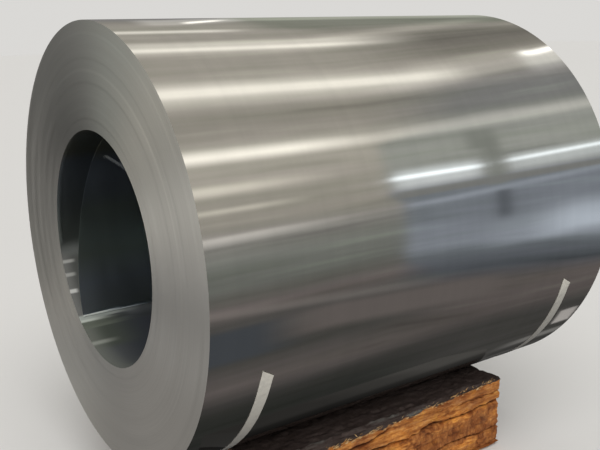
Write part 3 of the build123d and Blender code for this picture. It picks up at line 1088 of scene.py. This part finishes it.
def tent_light():
    """The tent's two cloths, streaked, with its cards laid over them and its lamps added."""
    tree, emission = new_glow("tent_light")
    calc, angle, share = tree.calc, tree.attribute("angle"), tree.attribute("share")

    def along_tent(value, stops):
        return tree.ramp_over(value, TENT_FIRST, TENT_LAST, stops)

    turns = along_tent(angle, [
        (degrees, (place, half, 0.5 + slope / 2 / MOST_SLOPE)) for degrees, place, half, slope in CLOTH_TURNS
    ])
    place, half, slope = tree.add("SeparateColor", {0: turns}).outputs
    slope = tree.fit(slope, 0.0, 1.0, -MOST_SLOPE, MOST_SLOPE)
    past = calc("MAXIMUM", calc("SUBTRACT", share, FAR_SHARE), SLOPE_FROM - FAR_SHARE)
    climbed = calc("ADD", angle, calc("MULTIPLY", slope, past))
    near, far = [
        along_tent(level, [(degrees, lit(light, colour)) for degrees, light, colour in cloth])
        for level, cloth in ((angle, NEAR_CLOTH), (climbed, FAR_CLOTH))
    ]
    turned = tree.step(share, calc("SUBTRACT", place, half), calc("ADD", place, half))
    total = tree.mix(turned, near, far)

    spread = {0: calc("MULTIPLY", climbed, 0.32), 1: calc("MULTIPLY", share, 1.6)}
    streaks = tree.noise(tree.add("CombineXYZ", spread).outputs[0], 1.0, 5.0, 0.6)
    uneven = tree.ramp(streaks, [
        (0.3, (0.72, 0.71, 0.71)), (0.42, (0.93, 0.94, 0.92)),
        (0.56, (1.06, 1.04, 1.06)), (0.7, (1.26, 1.3, 1.25)),
    ])
    total = tree.mix(1.0, total, uneven, "MULTIPLY")

    aside = calc("MAXIMUM", tree.step(share, -0.03, -0.15), tree.step(share, 1.03, 1.15))
    floor = calc("MULTIPLY", aside, tree.step(angle, 174.0, 184.0))
    total = tree.mix(floor, total, SIDE_CLOTH)

    for patches, blend in ((CARDS, "MIX"), (LAMPS, "ADD")):
        for patch in patches:
            mask = patch_mask(tree, angle, share, patch)
            total = tree.mix(mask, total, lit(patch.light, patch.colour), blend)
    tree.join(emission, {"Color": total})
    return tree.owner


SOFT_EDGE = 0.35
SOFT_STEPS = 25


def make_soft_card(name, azimuth, first, last, width, light, colour):
    """A card whose glow fades out towards its edges, so that it leaves no hard line in the steel.

    Its points run from the first to the last distance and height towards the azimuth, and by
    the width across it. The glow shows by the product of two bumps, one along each.
    """
    share = np.linspace(0, 1, SOFT_STEPS)
    aside = (share[:, None] - 0.5) * width
    ahead, height = [start + (stop - start) * share for start, stop in zip(first, last)]
    cosine, sine = np.cos(rad(azimuth)), np.sin(rad(azimuth))
    x, y = NEAR_X + ahead * cosine - aside * sine, ahead * sine + aside * cosine
    points = np.stack([x, y, height + aside * 0], -1)
    tree, emission = new_glow(name, light, colour)
    clear = tree.add("BsdfTransparent")
    blend = {0: tree.attribute("shows"), 1: clear.outputs[0], 2: emission.outputs[0]}
    tree.join(tree.nodes["Material Output"], {"Surface": tree.add("MixShader", blend).outputs[0]})
    card = make_card(name, points, grid_quads(SOFT_STEPS, SOFT_STEPS), tree.owner)
    bump = smooth(np.minimum(share, 1 - share), 0, SOFT_EDGE)
    set_layers(card, {"shows": bump[:, None] * bump})


CARD_LIFT = 0.006

# Soft cards beyond the near end, for the end face's sheen: name, azimuth in degrees from +X towards
# +Y about the near end's middle, distance and height of the first and the last edge, width, light
# and colour. The first five stand and the others lie on the floor
SOFT_CARDS = (
    ("dark_card", 104, (3.3, -0.9), (3.3, 1.1), 3.4, 0.03, GREY),
    ("grey_high", 124, (2.7, 0.8), (2.7, 2.4), 1.5, 0.5, GREEN),
    ("bright_high", 146, (2.7, 0.8), (2.7, 2.4), 1.5, 1.0, WARM),
    ("bright_low", 150, (2.7, 0.1), (2.7, 1.1), 1.4, 1.2, CREAM),
    ("bright_side", 168, (2.7, 0.02), (2.7, 1.0), 1.5, 1.3, CREAM),
    ("dark_floor", 102, (0.9, CARD_LIFT), (4.9, CARD_LIFT), 3.5, 0.02, GREY),
    ("pale_floor", 154, (1.2, CARD_LIFT), (3.4, CARD_LIFT), 1.4, 1.0, GREY),
    ("pale_near", 152, (0.4, CARD_LIFT), (1.5, CARD_LIFT), 0.8, 0.55, GREY),
    ("pale_foot", 92, (0.4, CARD_LIFT), (1.5, CARD_LIFT), 0.8, 0.4, GREY),
)


# The shield's light along X, and the share of it that is left on the way in over the timber
SHIELD_GAP = 0.004
SHIELD_ALONG = ((-0.375, 0.031), (-0.13, 0.033), (0.0, 0.046), (0.1, 0.052), (0.2, 0.076), (0.375, 0.082))
SHIELD_INWARD = ((0.0, 1.0), (0.01, 0.85), (0.02, 0.5), (0.036, 0.34), (0.053, 0.22))
SHIELD_TINT = (1.0, 0.97, 0.92)
SHIELD_NEAR_LIGHT = 0.034
SHIELD_DARK = 0.012
SHIELD_DEPTH = 0.1
SHIELD_LIP = 0.05


def shield_glow(low, high):
    """A dim glow that follows the tables above, along X and inwards from the outer face."""
    tree, emission = new_glow("shield_glow")
    x, y, _ = tree.add("SeparateXYZ", {0: tree.place()}).outputs
    along = [(place, lit(light, SHIELD_TINT)) for place, light in SHIELD_ALONG]
    left = [(low.y + depth, (share,) * 3) for depth, share in SHIELD_INWARD]
    light = tree.ramp_over(x, low.x, high.x, along)
    share = tree.ramp_over(y, low.y, low.y + SHIELD_DEPTH, left)
    tree.join(emission, {"Color": tree.mix(1.0, light, share, "MULTIPLY")})
    return tree.owner


def make_baulk_shield(node):
    """Dim glowing cards round a baulk, seen only in reflections: a painted dim reflection in the coil's
    underside in place of the baulk's orange.
    """
    low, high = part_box(node)
    low, high = low - Vector((1, 1, 0)) * SHIELD_GAP, high + Vector((1, 1, 1)) * SHIELD_GAP
    deep, lip = low.y + SHIELD_DEPTH, low.y + SHIELD_LIP
    glow = shield_glow(low, high)
    near_glow = new_glow("shield_near", SHIELD_NEAR_LIGHT, GREY)[0].owner
    inner_glow = new_glow("shield_inner", SHIELD_DARK, GREY)[0].owner
    walls = (
        ("outer", (low.x, low.y), (high.x, low.y), glow),
        ("near", (low.x, low.y), (low.x, deep), near_glow),
        ("inner", (low.x, deep), (low.x, high.y), inner_glow),
        ("far", (high.x, low.y), (high.x, high.y), glow),
    )
    for label, start, stop, material in walls:
        corners = [(*start, SHIELD_GAP), (*stop, SHIELD_GAP), (*stop, high.z), (*start, high.z)]
        make_card(f"{node}_shield_{label}", corners, ONE_QUAD, material)
    top = [(low.x, low.y, high.z), (high.x, low.y, high.z), (high.x, lip, high.z), (low.x, lip, high.z)]
    make_card(f"{node}_shield_top", top, ONE_QUAD, glow)


PALE = (0.7, 0.69, 0.67)
AMBIENT = (0.45, 0.443, 0.428)


def light_the_stage():
    """A soft key from the upper front for the matt pieces, and a world that is pale to the camera."""
    data = bpy.data.lights.new("soft_key", "SUN")
    data.energy = 1.7
    data.angle = rad(50)
    key = new_object("soft_key", data)
    key.rotation_euler = (rad(38), 0, rad(-25))
    key.visible_glossy = False

    world = bpy.data.worlds.new("studio")
    bpy.context.scene.world = world
    world.use_nodes = True
    tree = Tree(world.node_tree)
    to_camera = tree.add("LightPath").outputs["Is Camera Ray"]
    tree.join(tree.nodes["Background"], {"Color": tree.mix(to_camera, AMBIENT, PALE)})


# The whole piece

timber = hewn_timber()
fibre = torn_fibre()

make_coil(strip_face(), turn_edges(), bore_face())
make_inner_lap(inner_lap_face())
make_tape("near_tape", "tail_tape_near", 198.7, 0.0, 40, paper_tape("near_paper", NEAR_TAPE_SHADE))
make_tape("far_tape", "tail_tape_far", 196.9, 5.5, 50, paper_tape("far_paper", FAR_TAPE_SHADE))
make_baulk("front_baulk", "bearer_front", -1, FRONT_SPLITS, 60, timber)
make_baulk("back_baulk", "bearer_back", 1, BACK_SPLITS, 160, timber)
make_splinters("front_splinters", "bearer_front", -1, 71, 60, fibre)
make_splinters("back_splinters", "bearer_back", 1, 72, 160, fibre)

make_floor()
make_tent()
for card in SOFT_CARDS:
    make_soft_card(*card)
make_baulk_shield("bearer_front")
make_camera()
light_the_stage()
bpy.context.scene.view_settings.view_transform = "Standard"
